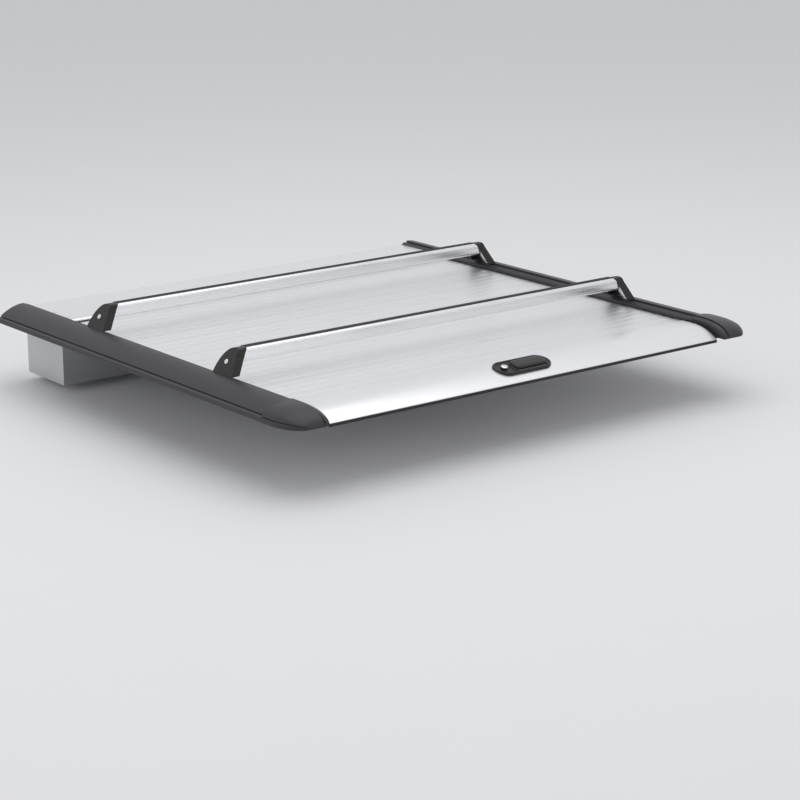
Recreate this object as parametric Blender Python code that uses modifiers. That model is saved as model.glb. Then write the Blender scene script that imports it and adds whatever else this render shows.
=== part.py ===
"""Roll-up tonneau cover for a pick-up bed, with two load bars on its side rails.

Frame: +X to the right, +Y forward to the cab, +Z up, metres.
Origin: centre line of the bed, at the rear edge of the end board, on the bed-rail plane.
"""

import math

import bmesh
import bpy
from mathutils import Matrix, Vector

# ---------------------------------------------------------------- driving sizes
GAP = 0.0003                 # clearance between pieces that touch
COVER_LENGTH = 1.535         # rear edge of the end board to the front end of the rails
CLEAR_WIDTH = 1.476          # between the inner faces of the two rails

# side rail section, measured outward from its inner face and up from the bed rail
RAIL_REAR = 0.120            # where the rail ends and the end cap starts
RAIL_OUTER = 0.117           # outer face of the lower band
RAIL_LIP = 0.122             # outer edge of the bottom lip
RAIL_TRACK_FLOOR = 0.0155
RAIL_TRACK_DEPTH = 0.019
RAIL_WALL = 0.003
INNER_LIP_TOP = 0.0355       # top of the rail's inner face
SLOT_MOUTH = 0.009           # width of the T-slot's mouth
SLOT_MOUTH_AT = 0.0135       # inner side of the mouth
SLOT_LIP_TOP = 0.0425        # top of the T-slot's inner lip
SLOT_FLOOR = 0.0300
SLOT_ROOF = 0.0385
SLOT_WIDTH = 0.020
CREST = 0.046                # highest line of the rail
CREST_WIDTH = 0.004
CREASE_AT = 0.106            # crease between the shoulder and the lower band
CREASE_HEIGHT = 0.017
LIP_HEIGHT = 0.003

# end cap
CAP_LENGTH = 0.112           # from its widest section to its tip
CAP_TOP = 0.0475
CAP_CORNER = 0.060           # plan radius of its outer rear corner
CAP_SHELL = 0.003

# curtain
SLAT_COUNT = 28
LID_OVERLAP = 0.021          # how far the curtain reaches under the lid
SLAT_THICKNESS = 0.0078      # edge thickness, without the crown
SLAT_CROWN = 0.0024
SLAT_WALL = 0.0016
SLAT_TONGUE = 0.0052
SLAT_LIP = 0.0034
SLAT_IN_TRACK = 0.014        # how far a slat's end reaches into the track
END_BOARD_DEPTH = 0.157
SEAL_GAP = 0.003             # between the seal and the rails
END_BOARD_TOP = 0.030
END_BOARD_NOSE = 0.100       # length of the stretch that curves down to the tailgate
END_BOARD_EDGE = -0.001      # height of the rear edge
END_BOARD_SKIN = 0.004
SEAL_DROP = 0.009
SEAL_WIDTH = 0.010

# latch
HANDLE_LENGTH = 0.200
HANDLE_DEPTH = 0.074
HANDLE_SEAT = 0.0060         # how far the bezel reaches down to the curved board
HANDLE_HEIGHT = 0.011
HANDLE_AT = 0.060
HANDLE_TILT = math.radians(13.0)
LEVER_LENGTH = 0.118
LEVER_DEPTH = 0.048
LEVER_CORNER = 0.016
LEVER_AT = 0.024             # centre of the lever, right of the handle's centre
LEVER_THICKNESS = 0.007
LEVER_SWING = 0.001          # room for the rear edge as the lever lifts
LEVER_PIVOT = 0.004          # hinge line, behind the lever's front edge
KEY_RADIUS = 0.0105
KEY_AT = -0.066
ROD_DEPTH = 0.012
ROD_THICKNESS = 0.005
ROD_AT = 0.128
ROD_INNER_END = 0.040
ROD_IN_TRACK = 0.012

# canister
CANISTER_BACK = 0.005        # front of the canister, behind the rails' front ends
CANISTER_SPAN = 0.214
CANISTER_DEPTH = 0.175
CANISTER_WALL = 0.0025
LID_REACH = 0.032            # lid, behind the tub
LID_TOP = 0.036
LID_SKIN = 0.003
LID_LIP_BOTTOM = 0.0285
DRUM_RADIUS = 0.030
DRUM_WALL = 0.003
DRUM_BEHIND = 0.106          # drum, behind the canister's front
DRUM_HEIGHT = -0.084
PIN_RADIUS = 0.008
PIN_LENGTH = 0.024
SPRING_WIRE = 0.0016
SPRING_TURNS = 8
SPRING_PITCH = 0.0075
LEADER_THICKNESS = 0.0012
LEADER_MARGIN = 0.088        # from the leader's edge to the rail
SPIGOT_RADIUS = 0.010
SPIGOT_LENGTH = 0.022

# load bars
BAR_AT = {"rear": 0.433, "front": 1.101}
BAR_TOP = 0.1165
BAR_HEIGHT = 0.038
BAR_REAR = 0.0209            # rear face, behind the bar's centre
BAR_FRONT = 0.0171           # front face, ahead of it
BAR_WALL = 0.0028
STRIP_PROUD = 0.0014
STRIP_REAR = 0.0095          # seat's rear edge, behind the bar's centre
STRIP_WIDTH = 0.022
STRIP_DEPTH = 0.004
FOOT_REAR = 0.040            # cover's base, behind the bar's centre
FOOT_FRONT = 0.051           # and in front of it
COVER_THICKNESS = 0.028
COVER_WALL = 0.003
COVER_LEAN = 0.57            # inward lean of the covers, per unit of height
COVER_TOP_REAR = 0.022
BRACKET_PLATE = 0.0064
TONGUE_LENGTH = 0.034
TONGUE_HEIGHT = 0.012
LOCK_RADIUS = 0.0075
LOCK_LENGTH = 0.0044
LOCK_PROUD = 0.0010
LOCK_AT_Y = 0.010
LOCK_AT_Z = 0.080

# worked out from the sizes above
CLEAR_HALF = CLEAR_WIDTH / 2
CANISTER_FRONT = COVER_LENGTH - CANISTER_BACK
CANISTER_REAR = CANISTER_FRONT - CANISTER_SPAN
LID_REAR = CANISTER_REAR - LID_REACH
DRUM_AT = CANISTER_FRONT - DRUM_BEHIND
SLAT_PITCH = (LID_REAR + LID_OVERLAP - END_BOARD_DEPTH) / SLAT_COUNT
END_BOARD_WIDTH = CLEAR_WIDTH - 2 * (SEAL_WIDTH + SEAL_GAP)
LEADER_WIDTH = CLEAR_WIDTH - 2 * LEADER_MARGIN
CURTAIN_REAR = END_BOARD_DEPTH
CURTAIN_FRONT = CURTAIN_REAR + SLAT_COUNT * SLAT_PITCH
SLAT_BOTTOM = RAIL_TRACK_FLOOR + 0.0005
TRACK_ROOF = SLAT_BOTTOM + SLAT_THICKNESS + SLAT_CROWN + 0.0005
SLAT_HALF = CLEAR_HALF + SLAT_IN_TRACK
COVER_BASE = CREST + GAP
SLOT_CENTRE = SLOT_MOUTH_AT + SLOT_MOUTH / 2
COVER_OUTER = SLOT_MOUTH_AT + SLOT_MOUTH + CREST_WIDTH
COVER_TOP = BAR_TOP + STRIP_PROUD + GAP
COVER_TOP_INNER = CLEAR_HALF + COVER_OUTER - COVER_THICKNESS - COVER_LEAN * (COVER_TOP - COVER_BASE)
BAR_HALF = COVER_TOP_INNER - GAP
SIDES = {"left": -1, "right": 1}


# ---------------------------------------------------------------- scene helpers
def clear_scene():
    for obj in list(bpy.data.objects):
        bpy.data.objects.remove(obj, do_unlink=True)


def make_collection(name):
    collection = bpy.data.collections.new(name)
    bpy.context.scene.collection.children.link(collection)
    return collection


def make_material(name, colour, roughness, metallic):
    material = bpy.data.materials.new(name)
    material.use_nodes = True
    shader = material.node_tree.nodes["Principled BSDF"]
    shader.inputs["Base Color"].default_value = (*colour, 1.0)
    shader.inputs["Roughness"].default_value = roughness
    shader.inputs["Metallic"].default_value = metallic
    return material


def adopt(obj, name, material):
    """Name an object, give it its own material and put it with the parts."""
    obj.name = name
    obj.data.name = name
    obj.data.materials.clear()
    obj.data.materials.append(make_material(name, *material))
    for collection in list(obj.users_collection):
        collection.objects.unlink(obj)
    PARTS.objects.link(obj)
    return obj


def as_cutter(obj):
    for collection in list(obj.users_collection):
        collection.objects.unlink(obj)
    CUTTERS.objects.link(obj)
    obj.hide_render = True
    obj.display_type = "WIRE"
    return obj


def boolean(obj, other, operation):
    modifier = obj.modifiers.new(operation.lower(), "BOOLEAN")
    modifier.operation = operation
    modifier.solver = "EXACT"
    modifier.object = as_cutter(other)
    return obj


def weld(mesh):
    """Close the seams of a filled curve and turn its faces outward."""
    bm = bmesh.new()
    bm.from_mesh(mesh)
    bmesh.ops.remove_doubles(bm, verts=bm.verts, dist=0.00001)
    bmesh.ops.recalc_face_normals(bm, faces=bm.faces)
    bm.to_mesh(mesh)
    bm.free()


def curve_to_mesh(curve_obj):
    """The curve's evaluated shape as a mesh object in the same place."""
    depsgraph = bpy.context.evaluated_depsgraph_get()
    mesh = bpy.data.meshes.new_from_object(curve_obj.evaluated_get(depsgraph))
    weld(mesh)
    obj = bpy.data.objects.new(curve_obj.name, mesh)
    obj.matrix_world = curve_obj.matrix_world.copy()
    bpy.context.scene.collection.objects.link(obj)
    bpy.data.objects.remove(curve_obj, do_unlink=True)
    return obj


# A prism's outline is drawn in local x and y and pushed along local z.
TURN = {
    "X": Matrix(((0, 0, 1), (1, 0, 0), (0, 1, 0))).to_4x4(),    # outline in Y, Z
    "Y": Matrix(((1, 0, 0), (0, 0, -1), (0, 1, 0))).to_4x4(),   # outline in X, Z
    "Z": Matrix.Identity(4),                                    # outline in X, Y
}


def prism(outlines, along, start, end):
    """A flat outline, with any holes, pushed from start to end along an axis."""
    curve = bpy.data.curves.new("prism", "CURVE")
    curve.dimensions = "2D"
    curve.fill_mode = "BOTH"
    curve.extrude = (end - start) / 2
    for outline in outlines:
        spline = curve.splines.new("POLY")
        spline.points.add(len(outline) - 1)
        for point, (a, b) in zip(spline.points, outline):
            point.co = (a, b, 0.0, 1.0)
        spline.use_cyclic_u = True
    obj = bpy.data.objects.new("prism", curve)
    bpy.context.scene.collection.objects.link(obj)
    middle = (start + end) / 2
    shift = {"X": (middle, 0, 0), "Y": (0, middle, 0), "Z": (0, 0, middle)}[along]
    obj.matrix_world = Matrix.Translation(shift) @ TURN[along]
    bpy.context.view_layer.update()
    solid = curve_to_mesh(obj)
    solid.data.transform(solid.matrix_world)
    solid.matrix_world = Matrix.Identity(4)
    return solid


def box(low, high):
    bpy.ops.mesh.primitive_cube_add(size=1.0)
    obj = bpy.context.object
    size = [h - l for l, h in zip(low, high)]
    centre = [(h + l) / 2 for l, h in zip(low, high)]
    obj.data.transform(Matrix.Translation(centre) @ Matrix.Diagonal((*size, 1.0)))
    return obj


def cylinder(radius, along, centre, length, sides=24):
    bpy.ops.mesh.primitive_cylinder_add(vertices=sides, radius=radius, depth=length)
    obj = bpy.context.object
    obj.data.transform(Matrix.Translation(centre) @ TURN[along])
    return obj


def arc(centre, radius, start, end, steps):
    """Points on an arc; radius may be a pair for an ellipse, angles in degrees."""
    ra, rb = radius if isinstance(radius, tuple) else (radius, radius)
    points = []
    for i in range(steps + 1):
        angle = math.radians(start + (end - start) * i / steps)
        points.append((centre[0] + ra * math.cos(angle), centre[1] + rb * math.sin(angle)))
    return points


def mirror_outline(outline, side):
    """An outline drawn for the right side, moved to the wanted side."""
    if side > 0:
        return outline
    return [(-a, b) for a, b in reversed(outline)]


def smooth(obj, degrees=35):
    obj.data.shade_smooth()
    obj.data.set_sharp_from_angle(angle=math.radians(degrees))
    return obj


def set_origin(obj, point):
    """Move the object's origin to a point without moving its shape."""
    obj.data.transform(Matrix.Translation([-c for c in point]))
    obj.location = point
    return obj


# ---------------------------------------------------------------- finishes
CHARCOAL = ((0.060, 0.060, 0.068), 0.42, 0.55)
BLACK_PLASTIC = ((0.045, 0.043, 0.045), 0.50, 0.0)
RUBBER = ((0.020, 0.020, 0.022), 0.75, 0.0)
SATIN_ALUMINIUM = ((0.80, 0.80, 0.81), 0.36, 0.9)
BRIGHT_ALUMINIUM = ((0.86, 0.86, 0.87), 0.22, 0.95)
CHROME = ((0.90, 0.90, 0.90), 0.08, 1.0)
GALVANISED = ((0.55, 0.56, 0.57), 0.45, 0.8)
SPRING_STEEL = ((0.35, 0.35, 0.36), 0.40, 0.9)


# ---------------------------------------------------------------- side rails
def shoulder(top, outer):
    """The rail's outer skin, from the crest down to the bottom lip."""
    start = SLOT_MOUTH_AT + SLOT_MOUTH + CREST_WIDTH
    crown = []
    steps = 6
    for i in range(1, steps):
        share = i / steps
        reach = start + (CREASE_AT - start) * share
        fall = (top - CREASE_HEIGHT) * share ** 1.9
        crown.append((reach, top - fall))
    crown.append((CREASE_AT, CREASE_HEIGHT))
    crown.append((outer - 0.002, 0.0075))
    crown.append((outer, LIP_HEIGHT + 0.0012))
    return crown


def rail_outline():
    """Section of the right rail: outward from its inner face, and up."""
    mouth_out = SLOT_MOUTH_AT + SLOT_MOUTH
    cavity_in = SLOT_CENTRE - SLOT_WIDTH / 2
    cavity_out = SLOT_CENTRE + SLOT_WIDTH / 2
    leg = RAIL_TRACK_DEPTH + RAIL_WALL
    skin = RAIL_WALL
    outline = [
        (0.0, 0.0),
        (0.0, RAIL_TRACK_FLOOR),
        (RAIL_TRACK_DEPTH, RAIL_TRACK_FLOOR),
        (RAIL_TRACK_DEPTH, TRACK_ROOF),
        (0.0, TRACK_ROOF),
        (0.0, INNER_LIP_TOP),
        (SLOT_MOUTH_AT, SLOT_LIP_TOP),
        (SLOT_MOUTH_AT, SLOT_ROOF),
        (cavity_in, SLOT_ROOF),
        (cavity_in, SLOT_FLOOR),
        (cavity_out, SLOT_FLOOR),
        (cavity_out, SLOT_ROOF),
        (mouth_out, SLOT_ROOF),
        (mouth_out, CREST - 0.001),
        (mouth_out + 0.001, CREST),
        (mouth_out + CREST_WIDTH, CREST),
    ]
    outline += shoulder(CREST, RAIL_OUTER)
    outline += [
        (RAIL_OUTER - 0.002, LIP_HEIGHT + 0.0012),
        (RAIL_OUTER - 0.002, LIP_HEIGHT),
        (RAIL_LIP, LIP_HEIGHT),
        (RAIL_LIP, 0.0),
        (RAIL_OUTER - 0.002 - skin, 0.0),
        (RAIL_OUTER - 0.002 - skin, 0.0075 - 0.001),
        (CREASE_AT - skin, CREASE_HEIGHT - skin),
        (leg + 0.045, SLOT_FLOOR),
        (leg + 0.012, SLOT_FLOOR + 0.002),
        (leg + 0.012, 0.0),
    ]
    return outline


def make_rail(side_name):
    side = SIDES[side_name]
    outline = [(CLEAR_HALF + reach, up) for reach, up in rail_outline()]
    rail = prism([mirror_outline(outline, side)], "Y", RAIL_REAR, COVER_LENGTH)
    inner = side * (CLEAR_HALF - 0.01)
    outer = side * (CLEAR_HALF + RAIL_TRACK_DEPTH)
    low = (min(inner, outer), CANISTER_REAR - 0.012, -0.01)
    high = (max(inner, outer), COVER_LENGTH + 0.01, RAIL_TRACK_FLOOR + 0.002)
    boolean(rail, box(low, high), "DIFFERENCE")
    return adopt(rail, f"{side_name}_rail", CHARCOAL)


# ---------------------------------------------------------------- end caps
def cap_section(y):
    """Section of the right cap at a place along the bed, with a flat bottom."""
    widest = RAIL_REAR - GAP
    tip = widest - CAP_LENGTH - 0.03
    share = max(0.0, min(1.0, (widest - 0.028 - y) / (widest - 0.028 - tip)))
    rise = math.sqrt(max(0.0, 1.0 - share ** 2))
    corner = max(0.0, min(1.0, (tip + CAP_CORNER * 1.7 - y) / (CAP_CORNER * 1.7)))
    width = RAIL_LIP - CAP_CORNER * (1.0 - math.sqrt(max(0.0, 1.0 - corner ** 2)))
    top = 0.004 + (CAP_TOP - 0.004) * rise
    steps = 10
    section = [(0.0, 0.0), (0.0, LIP_HEIGHT + 0.75 * (top - LIP_HEIGHT))]
    section.append((SLOT_MOUTH_AT, LIP_HEIGHT + 0.93 * (top - LIP_HEIGHT)))
    start = SLOT_MOUTH_AT + SLOT_MOUTH
    for i in range(steps + 1):
        t = i / steps
        reach = start + (width - 0.004 - start) * t
        up = LIP_HEIGHT + 0.001 + (top - LIP_HEIGHT - 0.001) * (1.0 - t ** 2.3) ** 0.72
        section.append((reach, up))
    section.append((width, LIP_HEIGHT))
    section.append((width, 0.0))
    return section


def loft(sections, side):
    """A closed solid through sections of equal point count, along Y."""
    bm = bmesh.new()
    rings = []
    for y, section in sections:
        rings.append([bm.verts.new((side * (CLEAR_HALF + a), y, b)) for a, b in section])
    for near, far in zip(rings, rings[1:]):
        for i in range(len(near)):
            j = (i + 1) % len(near)
            bm.faces.new((near[i], near[j], far[j], far[i]))
    bm.faces.new(rings[0])
    bm.faces.new(rings[-1])
    bmesh.ops.recalc_face_normals(bm, faces=bm.faces)
    bmesh.ops.triangulate(bm, faces=bm.faces)
    mesh = bpy.data.meshes.new("loft")
    bm.to_mesh(mesh)
    bm.free()
    obj = bpy.data.objects.new("loft", mesh)
    bpy.context.scene.collection.objects.link(obj)
    return obj


def make_end_cap(side_name):
    side = SIDES[side_name]
    front = RAIL_REAR - GAP
    rear = front - CAP_LENGTH - 0.03
    stations = 12
    sections = []
    for i in range(stations):
        angle = math.radians(90.0 * i / stations)
        y = front - (front - rear) * math.sin(angle)
        sections.append((y, cap_section(y)))
    sections.append((rear + 0.0004, cap_section(rear + 0.0004)))
    cap = loft(sections, side)
    low = side * (CLEAR_HALF + CAP_SHELL)
    high = side * (CLEAR_HALF + CREASE_AT - 0.030)
    hollow = box((min(low, high), rear + 0.050, -0.01), (max(low, high), front + 0.01, 0.020))
    boolean(cap, hollow, "DIFFERENCE")
    return adopt(smooth(cap), f"{side_name}_end_cap", BLACK_PLASTIC)


# ---------------------------------------------------------------- curtain
def slat_outline(rear):
    """Section of one slat: crowned top, hooked lip behind, tongue in front."""
    front = rear + SLAT_PITCH - 0.0005
    edge = SLAT_BOTTOM + SLAT_THICKNESS
    lip_under = edge - SLAT_LIP
    outline = [(rear, lip_under), (rear, edge)]
    steps = 4
    for i in range(1, steps):
        share = i / steps
        crown = SLAT_CROWN * 4 * share * (1 - share)
        outline.append((rear + (front - rear) * share, edge + crown))
    tongue = front + SLAT_TONGUE
    outline += [
        (front, edge),
        (front, lip_under - 0.0004),
        (tongue, lip_under - 0.0004),
        (tongue, SLAT_BOTTOM),
        (rear + SLAT_TONGUE + 0.0008, SLAT_BOTTOM),
        (rear + SLAT_TONGUE + 0.0008, lip_under),
    ]
    return outline


def slat_chamber(rear):
    """The hollow along a slat, between its two skins."""
    front = rear + SLAT_PITCH - 0.0005
    low = SLAT_BOTTOM + SLAT_WALL
    high = SLAT_BOTTOM + SLAT_THICKNESS - SLAT_WALL
    behind = rear + SLAT_TONGUE + 0.0008 + SLAT_WALL
    ahead = front - SLAT_WALL
    return [(behind, low), (ahead, low), (ahead, high), (behind, high)]


def make_slats():
    for number in range(1, SLAT_COUNT + 1):
        rear = CURTAIN_REAR + (number - 1) * SLAT_PITCH
        slat = prism([slat_outline(rear), slat_chamber(rear)], "X", -SLAT_HALF, SLAT_HALF)
        adopt(slat, f"slat_{number:02d}", SATIN_ALUMINIUM)


def nose_radius():
    drop = END_BOARD_TOP - END_BOARD_EDGE
    return (END_BOARD_NOSE ** 2 + drop ** 2) / (2 * drop)


def nose_height(y, inset=0.0):
    """Height of the end board's outer face, or of a surface inset below it."""
    if y >= END_BOARD_NOSE:
        return END_BOARD_TOP - inset
    radius = nose_radius()
    away = END_BOARD_NOSE - y
    return END_BOARD_TOP - radius + math.sqrt((radius - inset) ** 2 - away ** 2)


def nose_points(rear, front, inset, steps=8):
    points = []
    for i in range(steps + 1):
        y = front + (rear - front) * i / steps
        points.append((y, nose_height(y, inset)))
    return points


def end_board_outline():
    front = END_BOARD_DEPTH - 0.0005
    edge = SLAT_BOTTOM + SLAT_THICKNESS
    hook = edge - SLAT_LIP - 0.0004
    outline = [
        (front + SLAT_TONGUE, SLAT_BOTTOM),
        (front + SLAT_TONGUE, hook),
        (front, hook),
        (front, edge),
        (front - 0.006, END_BOARD_TOP - 0.001),
        (front - 0.012, END_BOARD_TOP),
    ]
    outline += nose_points(0.0, END_BOARD_NOSE, 0.0)
    outline += [(0.0025, nose_height(0.0025) - END_BOARD_SKIN)]
    outline += list(reversed(nose_points(0.006, END_BOARD_NOSE, END_BOARD_SKIN)))
    outline += [
        (front - 0.022, END_BOARD_TOP - END_BOARD_SKIN),
        (front - 0.022, SLAT_BOTTOM),
    ]
    return outline


def handle_frame():
    """Matrix of the handle: local z is the board's outward normal at its middle."""
    centre = (0.0, HANDLE_AT, nose_height(HANDLE_AT))
    return Matrix.Translation(centre) @ Matrix.Rotation(HANDLE_TILT, 4, "X")


def make_end_board():
    half = END_BOARD_WIDTH / 2
    board = prism([end_board_outline()], "X", -half, half)
    opening = box(
        (KEY_AT - KEY_RADIUS - 0.003, -LEVER_DEPTH / 2 - 0.001, -0.05),
        (LEVER_AT + LEVER_LENGTH / 2 + 0.002, LEVER_DEPTH / 2 + 0.001, 0.05),
    )
    opening.data.transform(handle_frame())
    boolean(board, opening, "DIFFERENCE")
    return adopt(board, "end_board", SATIN_ALUMINIUM)


def make_end_seal():
    """Rubber along the rear edge and up both ends of the end board."""
    half = END_BOARD_WIDTH / 2
    outer = half + SEAL_WIDTH
    rear_edge = [
        (-0.004, END_BOARD_EDGE - 0.001),
        (-0.004, END_BOARD_EDGE - SEAL_DROP),
        (0.006, END_BOARD_EDGE - SEAL_DROP),
        (0.006, END_BOARD_EDGE - END_BOARD_SKIN - 0.002),
        (0.001, END_BOARD_EDGE - END_BOARD_SKIN - GAP),
        (-GAP, END_BOARD_EDGE - 0.001),
    ]
    seal = prism([rear_edge], "X", -outer, outer)
    top = nose_points(-0.002, END_BOARD_NOSE, 0.001)
    bottom = list(reversed(nose_points(-0.002, END_BOARD_NOSE, 0.012)))
    for side in (-1, 1):
        inner_x = side * (half + GAP)
        outer_x = side * outer
        wing = prism([top + bottom], "X", min(inner_x, outer_x), max(inner_x, outer_x))
        boolean(seal, wing, "UNION")
    return adopt(seal, "end_board_seal", RUBBER)


# ---------------------------------------------------------------- handle and latch
def stadium(length, depth, centre=(0.0, 0.0), steps=8):
    radius = depth / 2
    straight = length / 2 - radius
    right = arc((centre[0] + straight, centre[1]), radius, -90, 90, steps)
    left = arc((centre[0] - straight, centre[1]), radius, 90, 270, steps)
    return right + left


def rounded_rectangle(length, depth, radius, centre=(0.0, 0.0), steps=3):
    points = []
    corners = ((1, -1, -90), (1, 1, 0), (-1, 1, 90), (-1, -1, 180))
    for sx, sy, start in corners:
        corner = (
            centre[0] + sx * (length / 2 - radius),
            centre[1] + sy * (depth / 2 - radius),
        )
        points += arc(corner, radius, start, start + 90, steps)
    return points


def make_bezel():
    lever_hole = rounded_rectangle(LEVER_LENGTH, LEVER_DEPTH, LEVER_CORNER, (LEVER_AT, 0.0))
    key_hole = arc((KEY_AT, 0.0), KEY_RADIUS, 0, 337.5, 15)
    outline = stadium(HANDLE_LENGTH, HANDLE_DEPTH)
    bezel = prism([outline, lever_hole, key_hole], "Z", -HANDLE_SEAT, HANDLE_HEIGHT)
    behind = -0.02
    ahead = END_BOARD_NOSE + 0.03
    under_board = nose_points(behind, ahead, -GAP) + [(behind, -0.1), (ahead, -0.1)]
    board = prism([under_board], "X", -HANDLE_LENGTH, HANDLE_LENGTH)
    bezel.data.transform(Matrix.Translation((0, 0, -0.0015)))
    bezel.data.transform(handle_frame())
    boolean(bezel, board, "DIFFERENCE")
    return adopt(bezel, "handle_bezel", BLACK_PLASTIC)


def make_lever():
    """Lift lever in the bezel, hinged along its front edge."""
    slack = 2 * GAP
    depth = LEVER_DEPTH - slack - LEVER_SWING
    centre = (LEVER_AT, LEVER_SWING / 2)
    outline = rounded_rectangle(LEVER_LENGTH - slack, depth, LEVER_CORNER - GAP, centre)
    top = HANDLE_HEIGHT - 0.003
    lever = prism([outline], "Z", top - LEVER_THICKNESS, top)
    finger = box(
        (LEVER_AT - 0.012, LEVER_DEPTH / 2 - 0.014, top - 0.022),
        (LEVER_AT + 0.012, LEVER_DEPTH / 2 - 0.009, top - LEVER_THICKNESS + 0.001),
    )
    boolean(lever, finger, "UNION")
    pivot = (LEVER_AT, LEVER_DEPTH / 2 - LEVER_PIVOT, top)
    set_origin(lever, pivot)
    set_origin(finger, pivot)
    lever.matrix_world = handle_frame() @ Matrix.Translation(pivot)
    finger.matrix_world = lever.matrix_world.copy()
    return adopt(lever, "handle_lever", BLACK_PLASTIC)


def make_key():
    """Key barrel in the bezel, with its slot across the face."""
    length = HANDLE_HEIGHT + 0.012
    barrel = cylinder(KEY_RADIUS - GAP, "Z", (0, 0, HANDLE_HEIGHT - length / 2 + 0.0005), length)
    slot = box((-0.0007, -0.0035, HANDLE_HEIGHT - 0.0015), (0.0007, 0.0035, HANDLE_HEIGHT + 0.002))
    place = handle_frame() @ Matrix.Translation((KEY_AT, 0, 0))
    barrel.matrix_world = place
    slot.matrix_world = place
    boolean(barrel, slot, "DIFFERENCE")
    return adopt(smooth(barrel), "key_cylinder", CHROME)


def make_latch_rod(side_name):
    side = SIDES[side_name]
    inner = side * ROD_INNER_END
    outer = side * (CLEAR_HALF + ROD_IN_TRACK)
    top = END_BOARD_TOP - END_BOARD_SKIN - GAP
    rod = box(
        (min(inner, outer), ROD_AT - ROD_DEPTH / 2, top - ROD_THICKNESS),
        (max(inner, outer), ROD_AT + ROD_DEPTH / 2, top),
    )
    return adopt(rod, f"{side_name}_latch_rod", GALVANISED)


# ---------------------------------------------------------------- canister
def make_tub():
    """Open-topped tub that hangs under the rails, with pins for the drum."""
    half = SLAT_HALF + 0.0045
    low = (-half, CANISTER_REAR, -CANISTER_DEPTH)
    high = (half, CANISTER_FRONT, -GAP)
    tub = box(low, high)
    bm = bmesh.new()
    bm.from_mesh(tub.data)
    top = [face for face in bm.faces if face.normal.z > 0.5]
    bmesh.ops.delete(bm, geom=top, context="FACES_ONLY")
    bm.to_mesh(tub.data)
    bm.free()
    shell = tub.modifiers.new("walls", "SOLIDIFY")
    shell.thickness = CANISTER_WALL
    shell.offset = -1.0
    shell.use_even_offset = True
    for side in (-1, 1):
        end = half - CANISTER_WALL
        centre = (side * (end - PIN_LENGTH / 2 + 0.001), DRUM_AT, DRUM_HEIGHT)
        boolean(tub, cylinder(PIN_RADIUS, "X", centre, PIN_LENGTH + 0.002, 16), "UNION")
        foot = (side * (half - 0.05), CANISTER_FRONT - 0.03, -CANISTER_DEPTH - SPIGOT_LENGTH / 2 + 0.001)
        boolean(tub, cylinder(SPIGOT_RADIUS, "Z", foot, SPIGOT_LENGTH, 16), "UNION")
        drain = (foot[0], foot[1], -CANISTER_DEPTH)
        boolean(tub, cylinder(SPIGOT_RADIUS - 0.002, "Z", drain, 3 * SPIGOT_LENGTH, 16), "DIFFERENCE")
    return adopt(tub, "canister_tub", GALVANISED)


def make_lid():
    """Lid over the canister: rounded rear edge, skirt down to the tub in front."""
    radius = LID_TOP - LID_LIP_BOTTOM
    front = CANISTER_FRONT
    rear_edge = arc((LID_REAR + radius, LID_LIP_BOTTOM), radius, 180, 90, 5)
    under = arc((LID_REAR + radius, LID_LIP_BOTTOM), radius - LID_SKIN, 90, 180, 4)
    outline = rear_edge + [
        (front - 0.004, LID_TOP),
        (front, LID_TOP - 0.004),
        (front, 0.0),
        (front - CANISTER_WALL, 0.0),
        (front - CANISTER_WALL, LID_TOP - LID_SKIN - 0.002),
        (front - 0.005, LID_TOP - LID_SKIN),
    ] + under
    half = CLEAR_HALF - 0.0006
    lid = prism([outline], "X", -half, half)
    return adopt(lid, "canister_lid", BRIGHT_ALUMINIUM)


def make_drum():
    """Tube with a bored hub in each end, turned about the line of the pins."""
    half = SLAT_HALF + 0.0045 - CANISTER_WALL - 0.0006
    bore = PIN_RADIUS + 0.0003
    hub = 0.012
    inner = DRUM_RADIUS - DRUM_WALL
    profile = [
        (half, bore), (half, DRUM_RADIUS), (-half, DRUM_RADIUS), (-half, bore),
        (-half + hub, bore), (-half + hub, inner), (half - hub, inner), (half - hub, bore),
    ]
    bm = bmesh.new()
    verts = [bm.verts.new((radius, 0.0, along)) for along, radius in profile]
    for i, vert in enumerate(verts):
        bm.edges.new((vert, verts[(i + 1) % len(verts)]))
    mesh = bpy.data.meshes.new("drum")
    bm.to_mesh(mesh)
    bm.free()
    drum = bpy.data.objects.new("drum", mesh)
    bpy.context.scene.collection.objects.link(drum)
    screw = drum.modifiers.new("turn", "SCREW")
    screw.steps = 32
    screw.render_steps = 32
    screw.use_merge_vertices = True
    screw.merge_threshold = 0.00001
    drum.location = (0.0, DRUM_AT, DRUM_HEIGHT)
    drum.rotation_euler = (0.0, math.radians(90.0), 0.0)
    return adopt(drum, "drum", GALVANISED)


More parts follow.
